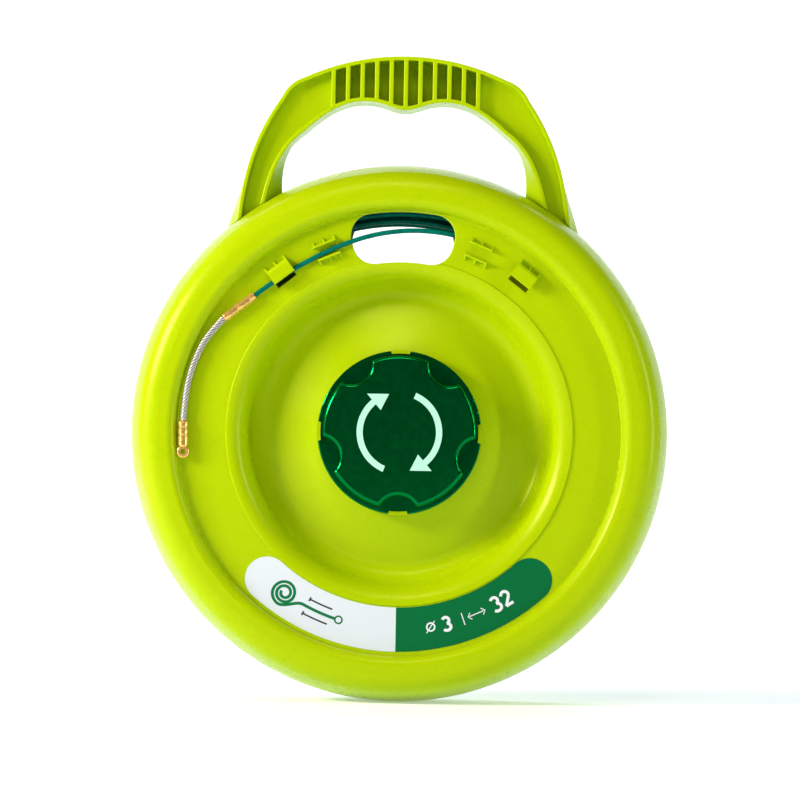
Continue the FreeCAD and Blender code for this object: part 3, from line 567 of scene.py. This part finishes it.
def ferrule(name, start, end, radius, crimps):
    """A brass sleeve with rounded mouths, pressed six-sided in a few places along it."""
    length = (end - start).length
    along = (end - start).normalized()
    side = along.cross(Vector((0, 1, 0))).normalized()
    up = along.cross(side)
    edge = MOUTH_EDGE
    profile = [(0.0012, MOUTH_R), (0.0002, MOUTH_R + 0.0001), (0.0, MOUTH_R + 0.0003)]
    for quarter in range(1, 5):
        a = math.radians(22.5 * quarter)
        profile.append((edge * (1 - math.cos(a)), radius - edge * (1 - math.sin(a))))
    inner = [(length - d, r) for d, r in reversed(profile)]
    barrel = [(edge + (length - 2 * edge) * i / BARREL_STEPS, radius)
              for i in range(1, BARREL_STEPS)]
    rings = []
    for distance, r in profile + barrel + inner:
        pressed = max((smooth_step(1.6 - abs(distance - middle) / half) for middle, half in crimps),
                      default=0)
        if r < radius - 0.0001:
            pressed = 0
        rings.append(crimped_ring(start + along * distance, side, up, r, pressed))
    return mesh_from_rings(name, rings)


def ferrules():
    """The sleeve that joins tape and leader, and the one on the tape's inner end."""
    front = ferrule("tape_crimp", place(*TAPE_ROUTE[-1]), place(*LEADER_ROUTE[0]),
                    *FRONT_SLEEVE)
    joint = link("tape_crimp", front, "fitting_brass", "case")
    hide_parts("tape_ferrule")
    lo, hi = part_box("tail_ferrule")
    middle = (lo + hi) / 2
    mouth = place(*TAIL_MOUTH)
    mesh = ferrule("tail_crimp", mouth, 2 * middle - mouth, *TAIL_SLEEVE)
    tail = link("tail_crimp", mesh, "fitting_brass", "case")
    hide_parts("tail_ferrule")
    return joint, tail


def make_cords():
    """The 32 m tape and the steel leader, with the fittings on them."""
    tape_piece = tape()
    rope, rope_path, rope_length = leader()
    joint, tail = ferrules()


# ---------------------------------------------------------------- label print

INK_LIFT = 0.00003
INK_THICK = 0.00004
STROKE_LIFT = 0.000006


class Print:
    """Flat shapes printed on the label, drawn on a line that bends round the case axis.

    A point is (across, up) in metres from an anchor at a clock angle: across to the reader's
    right, up towards the case axis.
    """

    def __init__(self, anchor, radius):
        self.anchor, self.radius = anchor, radius
        self.faces = []
        self.strokes = 0

    def at(self, point):
        across, up = point
        return self.anchor - math.degrees(across / self.radius), self.radius - up

    def stroke(self, points, width, closed=False):
        """A line of even width through points, a hair above the stroke before it."""
        lift = self.strokes * STROKE_LIFT
        self.strokes += 1
        flat = [Vector(p) for p in points]
        last = len(flat) - 1
        sides = []
        for i, point in enumerate(flat):
            before = flat[i - 1] if i or closed else point
            after = flat[(i + 1) % len(flat)] if i < last or closed else point
            along = (after - before).normalized()
            out = Vector((-along.y, along.x)) * (width / 2)
            sides.append((point + out, point - out))
        pairs = list(zip(sides, sides[1:])) + ([(sides[-1], sides[0])] if closed else [])
        for (a, b), (c, d) in pairs:
            self.faces.append((lift, [self.at(p) for p in (a, c, d, b)]))


def bow(centre, across, up, start, end, steps=16):
    """Points on an ellipse between two angles in degrees, counter-clockwise from the right."""
    points = []
    for i in range(steps + 1):
        a = math.radians(start + (end - start) * i / steps)
        points.append((centre[0] + across * math.cos(a), centre[1] + up * math.sin(a)))
    return points


def digit_three(x, height):
    """The strokes of a 3 whose middle is at x."""
    r = height * 0.24
    reach = height * 0.26
    upper = bow((x, height * 0.25), reach, r, 150, -80)
    lower = bow((x, -height * 0.23), reach * 1.1, height * 0.26, 80, -150)
    return [upper, lower]


def digit_two(x, height):
    """The strokes of a 2 whose middle is at x."""
    reach = height * 0.27
    top = bow((x, height * 0.22), reach, height * 0.27, 165, -30)
    foot = (x - reach, -height * 0.48)
    return [top, [top[-1], foot], [foot, (x + reach, -height * 0.48)]]


def ink_piece(name, prints, material):
    """One thin printed layer with all the faces of its prints."""
    bm = bmesh.new()
    depth = LABEL_LO.y - INK_LIFT
    for one in prints:
        for lift, corners in one.faces:
            bm.faces.new([bm.verts.new(place(angle, radius, depth - lift))
                          for angle, radius in corners])
    bmesh.ops.remove_doubles(bm, verts=bm.verts, dist=0.000002)
    bmesh.ops.recalc_face_normals(bm, faces=bm.faces)
    sheet = bmesh.ops.extrude_face_region(bm, geom=list(bm.faces))
    moved = [v for v in sheet["geom"] if isinstance(v, bmesh.types.BMVert)]
    bmesh.ops.translate(bm, vec=(0, -INK_THICK, 0), verts=moved)
    bmesh.ops.recalc_face_normals(bm, faces=bm.faces)
    mesh = bpy.data.meshes.new(name)
    bm.to_mesh(mesh)
    bm.free()
    piece = link(name, mesh, "label_print", "case")
    piece.data.materials[0] = material
    return piece


PRINT_RADIUS = 0.1197
BOLD, PLAIN, FINE = 0.0018, 0.0010, 0.0006
# clock angles of the print's anchors, and the digits' heights
THICKNESS_AT, LENGTH_AT, PICTOGRAM_AT = 167.6, 149.6, 214.5
THICKNESS_HEIGHT, LENGTH_HEIGHT = 0.0082, 0.0088


def size_print():
    """White on green: a diameter sign and 3, a divider, a double arrow and 32."""
    thick, long = Print(THICKNESS_AT, PRINT_RADIUS), Print(LENGTH_AT, PRINT_RADIUS)
    thick.stroke(bow((-0.0045, 0), 0.0024, 0.0024, 0, 345, 24), PLAIN, closed=True)
    thick.stroke([(-0.0075, -0.0033), (-0.0015, 0.0033)], FINE)
    for stroke in digit_three(0.0052, THICKNESS_HEIGHT):
        thick.stroke(stroke, BOLD)
    thick.stroke([(0.0158, -0.0038), (0.0158, 0.0038)], FINE)
    long.stroke([(-0.0177, 0), (-0.0083, 0)], FINE)
    for tip, back in ((-0.0186, -0.0166), (-0.0074, -0.0094)):
        long.stroke([(back, 0.0021), (tip, 0), (back, -0.0021)], FINE)
    for stroke in digit_three(0.0, LENGTH_HEIGHT) + digit_two(0.0074, LENGTH_HEIGHT):
        long.stroke(stroke, BOLD)
    ink_piece("size_print", [thick, long], ink("white_ink", (0.7, 0.78, 0.84)))


def tape_print():
    """On grey: a pictogram of a tape that leaves its coil and passes through a conduit."""
    tape_mark, pipe = Print(PICTOGRAM_AT, PRINT_RADIUS), Print(PICTOGRAM_AT, PRINT_RADIUS)
    turns, coil_in, coil_out, run = 2.25, 0.0021, 0.0078, 0.034
    spiral = []
    for i in range(97):
        a = 2 * math.pi * turns * i / 96
        r = coil_in + (coil_out - coil_in) * i / 96
        spiral.append((-r * math.cos(a), -r * math.sin(a) + coil_out - 0.0078))
    start = spiral[-1]
    fall = [(start[0] + 0.013 * i / 12, start[1] * (1 - smooth_step(i / 12)))
            for i in range(1, 13)]
    straight = [(fall[-1][0] + (run - fall[-1][0]) * i / 12, 0) for i in range(1, 13)]
    tape_mark.stroke(spiral + fall + straight, BOLD)
    tape_mark.stroke(bow((run + 0.0027, 0), 0.0022, 0.0022, 180, -165, 24), PLAIN, closed=True)
    for up in (0.0048, -0.0048):
        pipe.stroke([(0.0155 + 0.0155 * i / 12, up) for i in range(13)], PLAIN)
        pipe.stroke([(0.0155, up * 0.72), (0.0155, up * 1.28)], PLAIN)
    ink_piece("tape_print", [tape_mark], ink("green_ink", (0.0, 0.16, 0.05)))
    ink_piece("pipe_print", [pipe], ink("dark_ink", (0.03, 0.035, 0.035)))


make_camera()
dress_cad_nodes()
make_cords()
size_print()
tape_print()


# ---------------------------------------------------------------- floor, backdrop and light

FLOOR_BEND, FLOOR_HALF_WIDTH, FLOOR_FRONT, FLOOR_BACK, WALL_HEIGHT = 1.2, 6.0, 5.7, 3.2, 5.0
FLOOR_COLOUR = (0.82, 0.9, 0.95)
FLOOR_GLOW = 0.28
WORLD_STRENGTH = 0.08
WARM = (1.0, 0.83, 0.74)


def make_stage():
    """A white floor that curves up into a wall behind the reel."""
    bend, half_width, reach, height = FLOOR_BEND, FLOOR_HALF_WIDTH, FLOOR_BACK, WALL_HEIGHT
    profile = [(-FLOOR_FRONT, 0.0)]
    for i in range(25):
        a = math.radians(90 * i / 24)
        profile.append((reach - bend + bend * math.sin(a), bend * (1 - math.cos(a))))
    profile.append((reach, height))
    bm = bmesh.new()
    rows = [[bm.verts.new((x, y, z)) for x in (-half_width, half_width)] for y, z in profile]
    for (a, b), (c, d) in zip(rows, rows[1:]):
        bm.faces.new((a, b, d, c)).smooth = True
    mesh = bpy.data.meshes.new("floor")
    bm.to_mesh(mesh)
    bm.free()
    paper = Material("floor_paper", FLOOR_COLOUR, 0.9, Specular_IOR_Level=0.1,
                     Emission_Color=(1, 1, 1, 1), Emission_Strength=FLOOR_GLOW)
    mesh.materials.append(paper.data)
    floor = bpy.data.objects.new("floor", mesh)
    bpy.context.collection.objects.link(floor)


def soft_light(name, place_at, aim, size, power, colour=(1, 1, 1)):
    data = bpy.data.lights.new(name, "AREA")
    data.shape = "RECTANGLE"
    data.size, data.size_y = size
    data.energy = power
    data.color = colour
    light = bpy.data.objects.new(name, data)
    bpy.context.collection.objects.link(light)
    light.location = place_at
    light.rotation_euler = (Vector(aim) - Vector(place_at)).to_track_quat("-Z", "Y").to_euler()


def make_light():
    world = bpy.data.worlds.new("studio")
    bpy.context.scene.world = world
    world.use_nodes = True
    backdrop = world.node_tree.nodes["Background"]
    backdrop.inputs["Color"].default_value = (1, 1, 1, 1)
    backdrop.inputs["Strength"].default_value = WORLD_STRENGTH
    aim = tuple(CENTRE)
    soft_light("left_box", (-1.42, -0.72, 0.75), aim, (0.7, 0.3), 36, WARM)
    soft_light("top_box", (-0.1, -1.3, 1.5), aim, (0.6, 0.6), 7.5, WARM)
    soft_light("left_strip", (-1.8, -0.6, 0.4), aim, (0.06, 1.2), 5)
    soft_light("right_strip", (1.75, -0.68, 0.5), aim, (0.06, 1.2), 12)
    soft_light("wall_box", (0, 1.2, 2.6), (0, 3, 0.6), (3.0, 1.0), 65)


make_stage()
make_light()
bpy.context.scene.view_settings.view_transform = "Standard"
